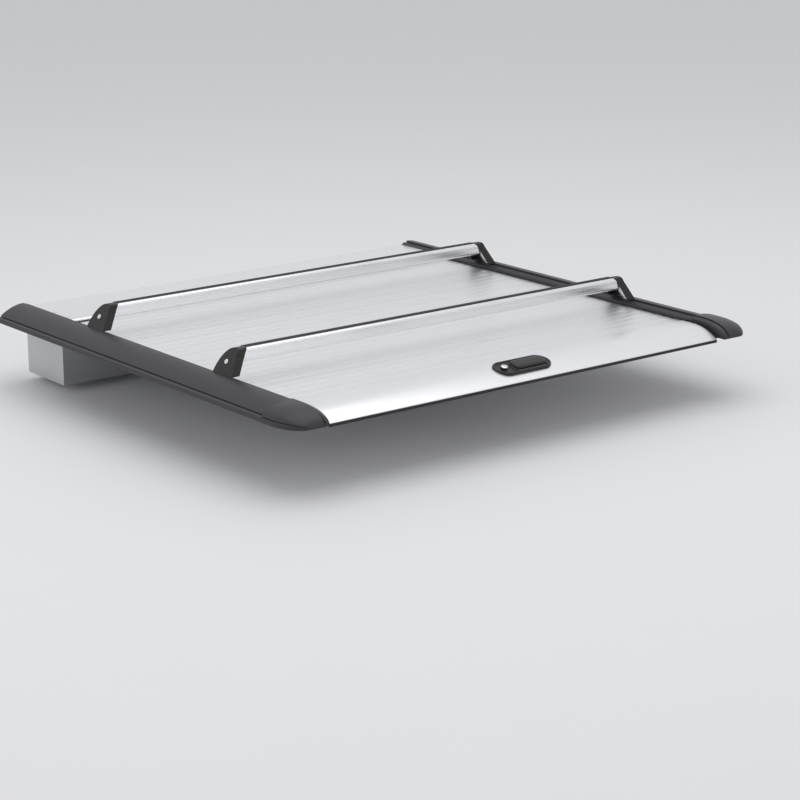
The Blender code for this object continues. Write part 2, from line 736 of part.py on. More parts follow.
def make_spring():
    """Torsion spring inside the drum, with a leg that reaches in to the pin."""
    coil = DRUM_RADIUS - DRUM_WALL - GAP - SPRING_WIRE
    start = -(SLAT_HALF - 0.030)
    per_turn = 14
    points = [(start, 0.0, PIN_RADIUS + 0.004), (start, 0.0, coil - 0.003)]
    for i in range(SPRING_TURNS * per_turn + 1):
        angle = 2 * math.pi * i / per_turn
        along = start + SPRING_PITCH * i / per_turn
        points.append((along, coil * math.sin(angle), coil * math.cos(angle)))
    curve = bpy.data.curves.new("spring", "CURVE")
    curve.dimensions = "3D"
    curve.bevel_depth = SPRING_WIRE
    curve.bevel_resolution = 2
    curve.use_fill_caps = True
    spline = curve.splines.new("POLY")
    spline.points.add(len(points) - 1)
    for point, place in zip(spline.points, points):
        point.co = (*place, 1.0)
    obj = bpy.data.objects.new("spring", curve)
    bpy.context.scene.collection.objects.link(obj)
    obj.location = (0.0, DRUM_AT, DRUM_HEIGHT)
    bpy.context.view_layer.update()
    return adopt(smooth(curve_to_mesh(obj), 60), "return_spring", SPRING_STEEL)


def ribbon(path, thickness):
    """Closed outline of a strip that follows a path in Y, Z."""
    one_side = []
    other_side = []
    for i, point in enumerate(path):
        before = Vector(path[max(i - 1, 0)])
        after = Vector(path[min(i + 1, len(path) - 1)])
        normal = (after - before).normalized().orthogonal() * (thickness / 2)
        one_side.append((point[0] + normal.x, point[1] + normal.y))
        other_side.append((point[0] - normal.x, point[1] - normal.y))
    return one_side + list(reversed(other_side))


def make_leader():
    """Sheet that ties the last slat to the drum and lies half round it."""
    start_y = CURTAIN_FRONT - 0.0005 + SLAT_TONGUE + GAP
    start_z = SLAT_BOTTOM + 0.002
    start, end, steps = 118, -60, 12
    half_step = math.radians((start - end) / steps / 2)
    around = (DRUM_RADIUS + GAP) / math.cos(half_step) + LEADER_THICKNESS / 2
    wrap = arc((DRUM_AT, DRUM_HEIGHT), around, start, end, steps)
    rise = [(start_y, start_z), (start_y + 0.012, start_z - 0.002), (start_y + 0.030, start_z - 0.016)]
    leader = prism([ribbon(rise + wrap, LEADER_THICKNESS)], "X", -LEADER_WIDTH / 2, LEADER_WIDTH / 2)
    return adopt(leader, "leader_sheet", SPRING_STEEL)


# ---------------------------------------------------------------- load bars
def bar_outline(y):
    """Section of a load bar, with a shallow seat for its rubber strip."""
    bottom = BAR_TOP - BAR_HEIGHT
    rear = y - BAR_REAR
    front = y + BAR_FRONT
    seat_rear = y - STRIP_REAR
    seat_front = seat_rear + STRIP_WIDTH
    radius = 0.009
    outline = arc((rear + radius, BAR_TOP - radius), radius, 180, 90, 4)
    outline += [
        (seat_rear, BAR_TOP),
        (seat_rear, BAR_TOP - STRIP_DEPTH),
        (seat_front, BAR_TOP - STRIP_DEPTH),
        (seat_front, BAR_TOP - 0.001),
        (front - 0.004, BAR_TOP - 0.005),
        (front, BAR_TOP - 0.013),
        (front - 0.001, bottom + 0.005),
        (front - 0.006, bottom),
        (rear + 0.006, bottom),
        (rear, bottom + 0.006),
    ]
    return outline


def bar_chamber(y):
    """The hollow that runs through a bar and takes the brackets' tongues."""
    half = TONGUE_HEIGHT / 2 + GAP
    middle = tongue_height()
    rear = y - BAR_REAR + BAR_WALL
    front = y + BAR_FRONT - BAR_WALL
    return [(rear, middle - half), (front, middle - half), (front, middle + half), (rear, middle + half)]


def tongue_height():
    return BAR_TOP - BAR_HEIGHT + BAR_WALL + 0.005 + TONGUE_HEIGHT / 2


def make_bar(place):
    y = BAR_AT[place]
    half = BAR_HALF
    bar = prism([bar_outline(y), bar_chamber(y)], "X", -half, half)
    return adopt(bar, f"{place}_bar", BRIGHT_ALUMINIUM)


def make_strip(place):
    """Rubber strip in the seat on top of a bar, standing a little proud."""
    y = BAR_AT[place]
    rear = y - STRIP_REAR + GAP
    front = rear + STRIP_WIDTH - 2 * GAP
    bottom = BAR_TOP - STRIP_DEPTH + GAP
    outline = [
        (rear, bottom), (rear, BAR_TOP + STRIP_PROUD / 2), (rear + 0.002, BAR_TOP + STRIP_PROUD),
        (front - 0.002, BAR_TOP + STRIP_PROUD), (front, BAR_TOP + STRIP_PROUD / 2), (front, bottom),
    ]
    half = BAR_HALF
    strip = prism([outline], "X", -half, half)
    return adopt(strip, f"{place}_bar_strip", RUBBER)


def fin_outline(y, inset, bottom):
    """Side view of a bracket cover: straight behind, one long curve in front."""
    rear = y - FOOT_REAR + inset
    rear_top = y - COVER_TOP_REAR + inset
    top = COVER_TOP - inset
    centre_y = y - 0.004
    curve = arc(
        (centre_y, COVER_BASE),
        (FOOT_FRONT + 0.004 - inset, top - COVER_BASE),
        90, 0, 9,
    )
    outline = [(rear, bottom), (rear_top, top - 0.004), (rear_top + 0.004, top)] + curve
    if bottom < COVER_BASE:
        outline.append((curve[-1][0], bottom))
    return outline


def lean(mesh, side):
    """Shear a mesh inward above the foot of its cover."""
    for vertex in mesh.vertices:
        vertex.co.x -= side * COVER_LEAN * (vertex.co.z - COVER_BASE)


def lock_frame(side, y):
    """Matrix of a bracket lock: local z points out of the cover's outer face."""
    outer = CLEAR_HALF + COVER_OUTER
    x = side * (outer - COVER_LEAN * (LOCK_AT_Z - COVER_BASE))
    tilt = math.atan(COVER_LEAN)
    turn = Matrix.Rotation(side * (math.pi / 2 - tilt), 4, "Y")
    return Matrix.Translation((x, y + LOCK_AT_Y, LOCK_AT_Z)) @ turn


def make_cover(place, side_name):
    side = SIDES[side_name]
    y = BAR_AT[place]
    outer = side * (CLEAR_HALF + COVER_OUTER)
    inner = side * (CLEAR_HALF + COVER_OUTER - COVER_THICKNESS)
    cover = prism([fin_outline(y, 0.0, COVER_BASE)], "X", min(inner, outer), max(inner, outer))
    wall = side * (CLEAR_HALF + COVER_OUTER - COVER_WALL)
    past = side * (CLEAR_HALF + COVER_OUTER - COVER_THICKNESS - 0.01)
    hollow = prism(
        [fin_outline(y, COVER_WALL, COVER_BASE - 0.02)], "X", min(wall, past), max(wall, past)
    )
    lean(cover.data, side)
    lean(hollow.data, side)
    boolean(cover, hollow, "DIFFERENCE")
    bore = cylinder(LOCK_RADIUS, "Z", (0, 0, 0), 0.03, 20)
    bore.matrix_world = lock_frame(side, y)
    boolean(cover, bore, "DIFFERENCE")
    return adopt(cover, f"{place}_{side_name}_cover", BLACK_PLASTIC)


def make_inner_bracket(place, side_name):
    """T-foot in the rail's slot, leaning plate inside the cover, tongue in the bar."""
    side = SIDES[side_name]
    y = BAR_AT[place]
    foot = SLOT_WIDTH / 2 - 0.001
    neck = BRACKET_PLATE / 2
    middle = SLOT_CENTRE
    top = tongue_height() + TONGUE_HEIGHT / 2
    low = tongue_height() - TONGUE_HEIGHT / 2
    elbow = COVER_BASE

    def leaned(height):
        return middle - COVER_LEAN * (height - elbow)

    end = BAR_HALF - TONGUE_LENGTH - CLEAR_HALF
    right_side = [
        (middle - foot, SLOT_FLOOR + 0.0005),
        (middle + foot, SLOT_FLOOR + 0.0005),
        (middle + foot, SLOT_ROOF - GAP),
        (middle + neck, SLOT_ROOF - GAP),
        (middle + neck, elbow),
        (leaned(top) + neck, top),
        (end, top),
        (end, low),
        (leaned(low) - neck, low),
        (middle - neck, elbow),
        (middle - neck, SLOT_ROOF - GAP),
        (middle - foot, SLOT_ROOF - GAP),
    ]
    outline = [(CLEAR_HALF + a, b) for a, b in right_side]
    rear = y - BAR_REAR + BAR_WALL + GAP
    front = y + BAR_FRONT - BAR_WALL - GAP
    bracket = prism([mirror_outline(outline, side)], "Y", rear, front)
    return adopt(bracket, f"{place}_{side_name}_bracket", BRIGHT_ALUMINIUM)


def make_bracket_lock(place, side_name):
    """Key lock through the outer wall of a cover."""
    side = SIDES[side_name]
    place_matrix = lock_frame(side, BAR_AT[place])
    middle = LOCK_PROUD - LOCK_LENGTH / 2
    barrel = cylinder(LOCK_RADIUS - GAP, "Z", (0, 0, middle), LOCK_LENGTH, 20)
    slot = box((-0.0006, -0.003, LOCK_PROUD - 0.001), (0.0006, 0.003, LOCK_PROUD + 0.001))
    barrel.matrix_world = place_matrix
    slot.matrix_world = place_matrix
    boolean(barrel, slot, "DIFFERENCE")
    return adopt(smooth(barrel), f"{place}_{side_name}_lock", CHROME)


# ---------------------------------------------------------------- build
clear_scene()
PARTS = make_collection("tonneau_cover")
CUTTERS = make_collection("cutters")

for rail_side in SIDES:
    make_rail(rail_side)
    make_end_cap(rail_side)
    make_latch_rod(rail_side)
make_slats()
make_end_board()
make_end_seal()
make_bezel()
make_lever()
make_key()
make_tub()
make_lid()
make_drum()
make_spring()
make_leader()
for bar_place in BAR_AT:
    make_bar(bar_place)
    make_strip(bar_place)
    for bracket_side in SIDES:
        make_cover(bar_place, bracket_side)
        make_inner_bracket(bar_place, bracket_side)
        make_bracket_lock(bar_place, bracket_side)
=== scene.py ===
# %% [markdown]
# # A roll-up tonneau cover, dressed for its picture
#
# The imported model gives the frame: every rail, slat, bar and lock at its real size. This lesson
# gives each of them the surface that the real one has. Extrusions are drawn as fine sections and
# pushed along their length, the slatted curtain is laid out by Geometry Nodes, moulded pieces are
# stacked from rings, and every finish is a node tree on Object coordinates.

# %% Load the frame
import math

import bmesh
import bpy
from mathutils import Matrix, Vector


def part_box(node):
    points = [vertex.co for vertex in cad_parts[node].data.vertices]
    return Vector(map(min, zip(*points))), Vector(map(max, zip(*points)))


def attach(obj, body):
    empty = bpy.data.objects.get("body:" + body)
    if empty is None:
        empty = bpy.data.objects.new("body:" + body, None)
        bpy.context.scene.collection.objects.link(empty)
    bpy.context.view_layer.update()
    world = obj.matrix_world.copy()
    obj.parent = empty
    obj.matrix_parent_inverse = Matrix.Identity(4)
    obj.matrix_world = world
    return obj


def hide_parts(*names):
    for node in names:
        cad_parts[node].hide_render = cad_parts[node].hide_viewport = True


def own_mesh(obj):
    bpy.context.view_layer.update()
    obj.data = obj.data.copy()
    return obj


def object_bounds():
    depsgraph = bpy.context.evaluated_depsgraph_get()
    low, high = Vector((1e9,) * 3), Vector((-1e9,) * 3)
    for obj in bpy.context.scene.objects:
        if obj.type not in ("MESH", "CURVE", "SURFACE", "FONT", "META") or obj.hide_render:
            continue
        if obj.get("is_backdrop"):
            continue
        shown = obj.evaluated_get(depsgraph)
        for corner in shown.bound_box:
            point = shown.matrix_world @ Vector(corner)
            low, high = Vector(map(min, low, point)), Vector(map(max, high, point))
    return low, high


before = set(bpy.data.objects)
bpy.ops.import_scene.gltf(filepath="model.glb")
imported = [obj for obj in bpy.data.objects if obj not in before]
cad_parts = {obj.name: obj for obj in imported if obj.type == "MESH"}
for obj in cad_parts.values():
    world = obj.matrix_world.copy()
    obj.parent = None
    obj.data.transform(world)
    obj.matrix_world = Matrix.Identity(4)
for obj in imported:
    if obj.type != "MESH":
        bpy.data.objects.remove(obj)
cad_box = [list(corner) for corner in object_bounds()]
print("cover measures", [round(high - low, 4) for low, high in zip(*cad_box)])

# %% [markdown]
# ## Sizes read from the frame
#
# Nothing is measured twice. The rails' boxes give the clear width and the crest, the end board's
# box gives where the curtain starts, and the bars' boxes give their section.

# %% Sizes
SIDES = {"left": -1, "right": 1}
RAIL_LOW, RAIL_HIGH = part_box("right_rail")
INNER = RAIL_LOW.x
RAIL_LIP = RAIL_HIGH.x - INNER
CREST = RAIL_HIGH.z
BOARD_LOW, BOARD_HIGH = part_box("end_board")
SLAT_LOW, SLAT_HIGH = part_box("slat_01")
SLAT_COUNT = sum(name.startswith("slat_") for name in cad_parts)
SLAT_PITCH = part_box("slat_02")[0].y - SLAT_LOW.y
SKIN = 0.004
print("clear half width", round(INNER, 4), "slats", SLAT_COUNT, "pitch", round(SLAT_PITCH, 4))


# %% [markdown]
# ## Small tools for drawing metal
#
# An extrusion is one outline at two places. `push` makes it from an outline in the YZ plane
# (along X) or in the XZ plane (along Y), with closed ends. `stack` joins rings of equal length
# into a closed form, which suits mouldings whose section changes. `dress` gives a piece soft
# edges with a live Bevel, its material, its body and the CAD nodes that it stands for.

# %% Drawing tools
def arc(centre, radius, start, end, steps):
    """Points on an arc, in degrees; a pair of radii gives an ellipse."""
    ra, rb = radius if isinstance(radius, tuple) else (radius, radius)
    angles = [math.radians(start + (end - start) * i / steps) for i in range(steps + 1)]
    return [(centre[0] + ra * math.cos(a), centre[1] + rb * math.sin(a)) for a in angles]


def stack(name, rings, closed_ends=True):
    bm = bmesh.new()
    loops = [[bm.verts.new(point) for point in ring] for ring in rings]
    count = len(loops[0])
    for near, far in zip(loops, loops[1:]):
        for i in range(count):
            j = (i + 1) % count
            bm.faces.new((near[i], near[j], far[j], far[i]))
    if closed_ends:
        bm.faces.new(loops[0])
        bm.faces.new(loops[-1])
    bmesh.ops.remove_doubles(bm, verts=bm.verts, dist=0.00001)
    bmesh.ops.recalc_face_normals(bm, faces=bm.faces)
    mesh = bpy.data.meshes.new(name)
    bm.to_mesh(mesh)
    bm.free()
    piece = bpy.data.objects.new(name, mesh)
    bpy.context.scene.collection.objects.link(piece)
    return piece


def push(name, outline, axis, start, end):
    if axis == "X":
        rings = [[(place, a, b) for a, b in outline] for place in (start, end)]
    else:
        rings = [[(a, place, b) for a, b in outline] for place in (start, end)]
    return stack(name, rings)


def block(name, low, high):
    return push(name, [(low[0], low[2]), (high[0], low[2]), (high[0], high[2]), (low[0], high[2])],
                "Y", low[1], high[1])


def carve(piece, tool, operation="DIFFERENCE"):
    """Cut or join with another closed form, and keep the result as a plain mesh."""
    cut = piece.modifiers.new("carve", "BOOLEAN")
    cut.operation = operation
    cut.solver = "EXACT"
    cut.object = tool
    depsgraph = bpy.context.evaluated_depsgraph_get()
    mesh = bpy.data.meshes.new_from_object(piece.evaluated_get(depsgraph))
    piece.modifiers.clear()
    piece.data = mesh
    bpy.data.objects.remove(tool)
    return piece


def soften(piece, width, angle=32, segments=2):
    piece.data.shade_smooth()
    if width:
        bevel = piece.modifiers.new("edges", "BEVEL")
        bevel.width = width
        bevel.segments = segments
        bevel.limit_method = "ANGLE"
        bevel.angle_limit = math.radians(angle)
        bevel.harden_normals = True
        bevel.use_clamp_overlap = True
    else:
        piece.data.set_sharp_from_angle(angle=math.radians(angle))
    return piece


def dress(piece, material, body, nodes=(), edge=0.0004):
    piece.data.materials.clear()
    piece.data.materials.append(material)
    soften(piece, edge)
    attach(piece, body)
    if nodes:
        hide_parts(*nodes)
    print(piece.name, len(piece.data.vertices), "points, rides on", body)
    return piece


# %% [markdown]
# ## Finishes
#
# Every finish starts from the same three ideas. The real surface has a grain with a direction or
# none, its gloss isn't even, and its colour drifts a little over a hand's width. `finish` wires
# these once: a stretched noise for the grain, which goes to roughness and bump, and a broad noise
# for the colour. Each material then only names its numbers.

# %% A finish from grain, gloss and drift
def finish(name, colour, drift, metallic, roughness, grain_scale, stretch, spread, bump, extra=None, sheen=0.5):
    material = bpy.data.materials.new(name)
    material.use_nodes = True
    nodes = material.node_tree.nodes
    links = material.node_tree.links
    shader = nodes["Principled BSDF"]
    shader.inputs["Metallic"].default_value = metallic
    shader.inputs["Specular IOR Level"].default_value = sheen
    place = nodes.new("ShaderNodeTexCoord")
    along = nodes.new("ShaderNodeMapping")
    along.inputs["Scale"].default_value = stretch
    links.new(place.outputs["Object"], along.inputs["Vector"])
    grain = nodes.new("ShaderNodeTexNoise")
    grain.inputs["Scale"].default_value = grain_scale
    grain.inputs["Detail"].default_value = 4.0
    links.new(along.outputs["Vector"], grain.inputs["Vector"])
    gloss = nodes.new("ShaderNodeMapRange")
    gloss.inputs["To Min"].default_value = roughness - spread
    gloss.inputs["To Max"].default_value = roughness + spread
    links.new(grain.outputs["Fac"], gloss.inputs["Value"])
    links.new(gloss.outputs["Result"], shader.inputs["Roughness"])
    broad = nodes.new("ShaderNodeTexNoise")
    broad.inputs["Scale"].default_value = 5.0
    broad.inputs["Detail"].default_value = 3.0
    links.new(place.outputs["Object"], broad.inputs["Vector"])
    blend = nodes.new("ShaderNodeMix")
    blend.data_type = "RGBA"
    blend.inputs["A"].default_value = (*colour, 1.0)
    blend.inputs["B"].default_value = (*drift, 1.0)
    links.new(broad.outputs["Fac"], blend.inputs["Factor"])
    links.new(blend.outputs["Result"], shader.inputs["Base Color"])
    relief = nodes.new("ShaderNodeBump")
    relief.inputs["Strength"].default_value = bump
    relief.inputs["Distance"].default_value = 0.0002
    links.new(grain.outputs["Fac"], relief.inputs["Height"])
    links.new(relief.outputs["Normal"], shader.inputs["Normal"])
    if extra:
        extra(nodes, links, place, blend, shader)
    return material


# %% [markdown]
# Anodised slats come from different drawing batches, so neighbours differ by a shade. The shade
# is a white noise read from the slat's number, which is its place along Y divided by the pitch.

# %% A shade for each slat
def shade_per_slat(nodes, links, place, blend, shader):
    split = nodes.new("ShaderNodeSeparateXYZ")
    links.new(place.outputs["Object"], split.inputs["Vector"])
    shift = nodes.new("ShaderNodeMath")
    shift.operation = "SUBTRACT"
    shift.inputs[1].default_value = BOARD_HIGH.y
    links.new(split.outputs["Y"], shift.inputs[0])
    number = nodes.new("ShaderNodeMath")
    number.operation = "DIVIDE"
    number.inputs[1].default_value = SLAT_PITCH
    links.new(shift.outputs["Value"], number.inputs[0])
    whole = nodes.new("ShaderNodeMath")
    whole.operation = "FLOOR"
    links.new(number.outputs["Value"], whole.inputs[0])
    chance = nodes.new("ShaderNodeTexWhiteNoise")
    chance.noise_dimensions = "1D"
    links.new(whole.outputs["Value"], chance.inputs["W"])
    tone = nodes.new("ShaderNodeMapRange")
    tone.inputs["To Min"].default_value = 0.97
    tone.inputs["To Max"].default_value = 1.0
    links.new(chance.outputs["Value"], tone.inputs["Value"])
    shade = nodes.new("ShaderNodeMix")
    shade.data_type = "RGBA"
    shade.blend_type = "MULTIPLY"
    shade.inputs["Factor"].default_value = 1.0
    links.new(blend.outputs["Result"], shade.inputs["A"])
    links.new(tone.outputs["Result"], shade.inputs["B"])
    links.new(shade.outputs["Result"], shader.inputs["Base Color"])


# %% The materials
LONG_X = (0.02, 1.0, 1.0)
LONG_Y = (1.0, 0.02, 1.0)
EVEN = (1.0, 1.0, 1.0)
ALUMINIUM_SLAT = finish("anodised_slat", (0.80, 0.80, 0.81), (0.77, 0.775, 0.78), 0.85, 0.40,
                        420, LONG_X, 0.07, 0.25, shade_per_slat)
ALUMINIUM_BOARD = finish("anodised_board", (0.86, 0.86, 0.865), (0.82, 0.82, 0.83), 0.85, 0.30,
                         420, LONG_X, 0.06, 0.2)
ALUMINIUM_LID = finish("smooth_lid", (0.84, 0.84, 0.85), (0.80, 0.80, 0.81), 0.9, 0.19,
                       260, LONG_X, 0.05, 0.1)
ALUMINIUM_BAR = finish("drawn_bar", (0.87, 0.87, 0.88), (0.82, 0.825, 0.83), 0.92, 0.22,
                       500, LONG_X, 0.07, 0.25)
ALUMINIUM_MILL = finish("mill_sheet", (0.56, 0.57, 0.58), (0.48, 0.49, 0.50), 0.9, 0.40,
                        160, LONG_X, 0.10, 0.25)
POWDER_COAT = finish("charcoal_powder_coat", (0.040, 0.039, 0.045), (0.033, 0.032, 0.036), 0.0, 0.42,
                     1500, EVEN, 0.06, 0.35, sheen=0.3)
MOULDED_CAP = finish("cap_plastic", (0.036, 0.035, 0.040), (0.029, 0.028, 0.031), 0.0, 0.38,
                     1100, EVEN, 0.05, 0.2, sheen=0.32)
MOULDED_BLACK = finish("handle_plastic", (0.024, 0.0225, 0.0215), (0.018, 0.017, 0.017), 0.0, 0.40,
                       1300, EVEN, 0.07, 0.35, sheen=0.3)
RUBBER = finish("black_rubber", (0.028, 0.027, 0.031), (0.020, 0.020, 0.022), 0.0, 0.62,
                700, EVEN, 0.08, 0.4, sheen=0.25)
CHROME = finish("polished_chrome", (0.86, 0.86, 0.87), (0.82, 0.82, 0.83), 1.0, 0.09,
                300, EVEN, 0.03, 0.03)
ZINC = finish("zinc_plate", (0.58, 0.59, 0.60), (0.50, 0.51, 0.50), 0.9, 0.38,
              220, EVEN, 0.12, 0.3)
SPRING_STEEL = finish("oiled_spring_steel", (0.22, 0.22, 0.23), (0.17, 0.165, 0.16), 0.9, 0.34,
                      350, EVEN, 0.08, 0.25)
print(len(bpy.data.materials), "finishes")

# %% [markdown]
# ## Camera, floor and light
#
# The cover is seen from behind its left corner, from about eye height and far away, through a
# long lens, so the rails stay nearly parallel. A pale floor fills the view. Large soft lamps
# stand in for a studio ceiling: the flat curtain mirrors the dim far wall and the curved end
# board mirrors the bright ceiling, which is why its nose is the brightest stretch.

# %% Camera and studio
EYE = (-4.1973, -4.6731, 1.6992)
YAW = math.radians(-38.45)
PITCH = math.radians(74.3)
FLOOR_DROP = 0.002
camera_data = bpy.data.cameras.new("camera")
camera_data.lens = 104.0
camera = bpy.data.objects.new("camera", camera_data)
camera.location = EYE
camera.rotation_euler = (PITCH, 0.0, YAW)
bpy.context.scene.collection.objects.link(camera)
bpy.context.scene.camera = camera

floor = push("floor", [(-60, -1), (60, -1), (60, 0), (-60, 0)], "Y", -60, 60)
floor.data.transform(Matrix.Translation((0, 0, cad_box[0][2] - FLOOR_DROP)))
floor.data.materials.append(finish("pale_floor", (0.70, 0.70, 0.705), (0.69, 0.69, 0.695), 0.0, 0.7,
                                   3, EVEN, 0.05, 0.0))
floor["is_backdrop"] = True


def lamp(name, place, target, size, power):
    data = bpy.data.lights.new(name, "AREA")
    data.shape = "RECTANGLE"
    data.size, data.size_y = size
    data.energy = power
    light = bpy.data.objects.new(name, data)
    light.location = place
    light.rotation_euler = (Vector(target) - Vector(place)).to_track_quat("-Z", "Y").to_euler()
    bpy.context.scene.collection.objects.link(light)


lamp("ceiling", (0.0, 0.4, 4.5), (0, 0.6, 0), (6.0, 5.0), 95)
lamp("left_wall", (-5.5, 1.5, 2.2), (0, 0.7, 0), (3.5, 2.5), 30)
lamp("rear_wall", (1.5, -5.5, 2.6), (0, 0.3, 0), (4.0, 2.0), 20)
world = bpy.data.worlds.new("studio")
world.use_nodes = True
world.node_tree.nodes["Background"].inputs["Color"].default_value = (0.86, 0.87, 0.89, 1.0)
world.node_tree.nodes["Background"].inputs["Strength"].default_value = 0.88
bpy.context.scene.world = world
bpy.context.scene.view_settings.view_transform = "Standard"
print("camera", [round(v, 2) for v in camera.location], "lens", camera_data.lens)


# %% [markdown]
# ## Side rails
#
# Each rail is one aluminium extrusion: a track for the slats, a T-slot for accessories and a
# broad convex shoulder down to the bed side. Its section is drawn with a smooth shoulder and
# small roundings where the die has them. Where the canister hangs, the lower part of the track
# is milled away.

# %% Rails
SLOT_IN, SLOT_OUT = 0.0135, 0.0225
CREST_FLAT = 0.004
CREASE = (0.106, 0.017)
TRACK = (0.019, 0.0155, SLAT_LOW.z + 0.0112)


def rail_section():
    start = SLOT_OUT + CREST_FLAT
    section = [(0.0, 0.0), (0.0, TRACK[1]), (TRACK[0], TRACK[1]), (TRACK[0], TRACK[2]), (0.0, TRACK[2])]
    section += arc((0.0014, 0.0341), 0.0014, 180, 115, 4)
    section += [(SLOT_IN - 0.0008, 0.0423), (SLOT_IN, 0.0417), (SLOT_IN, 0.0385)]
    section += [(0.008, 0.0385), (0.008, 0.030), (0.028, 0.030), (0.028, 0.0385), (SLOT_OUT, 0.0385)]
    section += arc((SLOT_OUT + 0.0014, CREST - 0.0014), 0.0014, 180, 90, 4)
    steps = 26
    for i in range(steps):
        share = i / steps
        reach = start + (CREASE[0] - start) * share
        section.append((reach, CREST - (CREST - CREASE[1]) * share ** 1.9))
    section += [CREASE, (CREASE[0] + 0.0003, CREASE[1] - 0.0010), (CREASE[0] - 0.0016, CREASE[1] - 0.0016),
                (CREASE[0] - 0.0016, CREASE[1] - 0.0036)]
    section += arc((RAIL_LIP - 0.0050, 0.0084), (0.0050, 0.0050), 90, 0, 8)
    section += [(RAIL_LIP, 0.0), (0.112, 0.0), (0.112, 0.004), (0.101, 0.0115), (0.067, 0.027),
                (0.034, 0.029), (0.034, 0.0)]
    return section


def make_rail(side_name):
    side = SIDES[side_name]
    outline = [(side * (INNER + a), b) for a, b in rail_section()]
    rail = push(f"{side_name}_side_rail", outline, "Y", RAIL_LOW.y, RAIL_HIGH.y)
    milled = block("milled", (side * INNER - 0.02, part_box("canister_tub")[0].y - 0.012, -0.01),
                   (side * INNER + 0.02, RAIL_HIGH.y + 0.01, TRACK[1] + 0.002))
    milled.data.transform(Matrix.Translation((side * (TRACK[0] - 0.02), 0, 0)))
    carve(rail, milled)
    dress(rail, POWDER_COAT, "frame", [f"{side_name}_rail"], 0.0003)


for side_name in SIDES:
    make_rail(side_name)

# %% [markdown]
# ## End caps
#
# A moulded cap closes each rail and runs down to the tailgate. Its outer side is a dome that
# rounds the corner in plan, beside it a groove carries on the line of the T-slot, and an inner
# ledge carries on the rail's inner lip. A thin shadow line and a lip run round its foot. It is
# stacked from sections that shrink towards the tip.

# %% End caps
CAP_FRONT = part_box("right_end_cap")[1].y
CAP_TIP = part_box("right_end_cap")[0].y
CAP_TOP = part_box("right_end_cap")[1].z
CAP_CORNER = 0.102
GROOVE = 0.0035
TIP_HEIGHT = 0.0042
FOOT = 0.0134
FOOT_AT_TIP = 0.0026
FOOT_GROWTH = 0.30       # how fast the foot rises as the cap above it rises


def cap_ring(y, side):
    flat = 0.028
    share = max(0.0, min(1.0, (CAP_FRONT - flat - y) / (CAP_FRONT - flat - CAP_TIP)))
    rise = math.sqrt(max(0.0, 1.0 - share ** 2.1))
    corner = max(0.0, min(1.0, (CAP_TIP + CAP_CORNER - y) / CAP_CORNER))
    width = RAIL_LIP - 0.060 * (1.0 - math.sqrt(max(0.0, 1.0 - corner ** 2)))
    top = TIP_HEIGHT + (CAP_TOP - TIP_HEIGHT) * rise
    lip = min(FOOT, FOOT_AT_TIP + (top - TIP_HEIGHT) * FOOT_GROWTH)
    ledge = lip + (top - lip) * 0.76
    slot = lip + (top - lip) * 0.90
    deep = max(lip + 0.0004, slot - 0.006)
    ring = [(0.0, 0.0), (0.0, ledge - 0.0008), (0.0010, ledge + 0.0002), (SLOT_IN - 0.0008, slot),
            (SLOT_IN, slot - 0.0006), (SLOT_IN, deep), (SLOT_IN + GROOVE, deep)]
    start = SLOT_IN + GROOVE
    steps = 28
    for i in range(steps + 1):
        t = 1.0 - math.cos(math.pi / 2 * i / steps)
        reach = start + (width - 0.0035 - start) * t
        up = lip + 0.0042 + (top - lip - 0.0042) * max(0.0, 1.0 - t ** 2.4) ** 0.62
        ring.append((reach, max(up, lip + 0.001)))
    ring += [(width - 0.0036, lip + 0.0022), (width - 0.0056, lip + 0.0016), (width - 0.0056, lip),
             (width - 0.0012, lip), (width, lip - 0.0012), (width, 0.0)]
    return [(side * (INNER + a), y, b) for a, b in ring]


def make_cap(side_name):
    side = SIDES[side_name]
    stations = 40
    places = [CAP_FRONT - (CAP_FRONT - CAP_TIP) * math.sin(math.pi / 2 * i / stations)
              for i in range(stations)] + [CAP_TIP + 0.0002]
    cap = stack(f"{side_name}_rail_cap", [cap_ring(y, side) for y in places])
    dress(cap, MOULDED_CAP, "frame", [f"{side_name}_end_cap"], 0.0003)


for side_name in SIDES:
    make_cap(side_name)

# %% [markdown]
# ## The slatted curtain
#
# One slat is a closed section with a slight crown, a rounded rear edge and a tongue that the
# next slat hooks over. The rest are the same slat again at an even pitch, so Geometry Nodes lay
# them out: a line of points, an instance on each, Realize Instances and Set Material. The slat,
# the count and the pitch are named inputs. The curtain winds out of sight into the canister when
# the cover opens.

# %% One slat
TONGUE = 0.0052
CROWN = 0.0007
JOINT_ROUND = 0.0007


def slat_section():
    rear, front = SLAT_LOW.y, SLAT_LOW.y + SLAT_PITCH - 0.0005
    bottom = SLAT_LOW.z
    edge = bottom + 0.0078
    under = edge - 0.0034
    section = [(rear, under)] + arc((rear + JOINT_ROUND, edge - JOINT_ROUND), JOINT_ROUND, 180, 95, 4)
    steps = 14
    for i in range(1, steps):
        share = i / steps
        section.append((rear + (front - rear) * share, edge + 4 * CROWN * share * (1 - share)))
    section += arc((front - JOINT_ROUND, edge - JOINT_ROUND), JOINT_ROUND, 85, 0, 4)
    section += [(front, under - 0.0004), (front + TONGUE, under - 0.0004), (front + TONGUE, bottom),
                (rear + TONGUE + 0.0008, bottom), (rear + TONGUE + 0.0008, under)]
    return section


slat = push("one_slat", slat_section(), "X", SLAT_LOW.x, SLAT_HIGH.x)
slat.data.shade_smooth()
slat.data.set_sharp_from_angle(angle=math.radians(32))


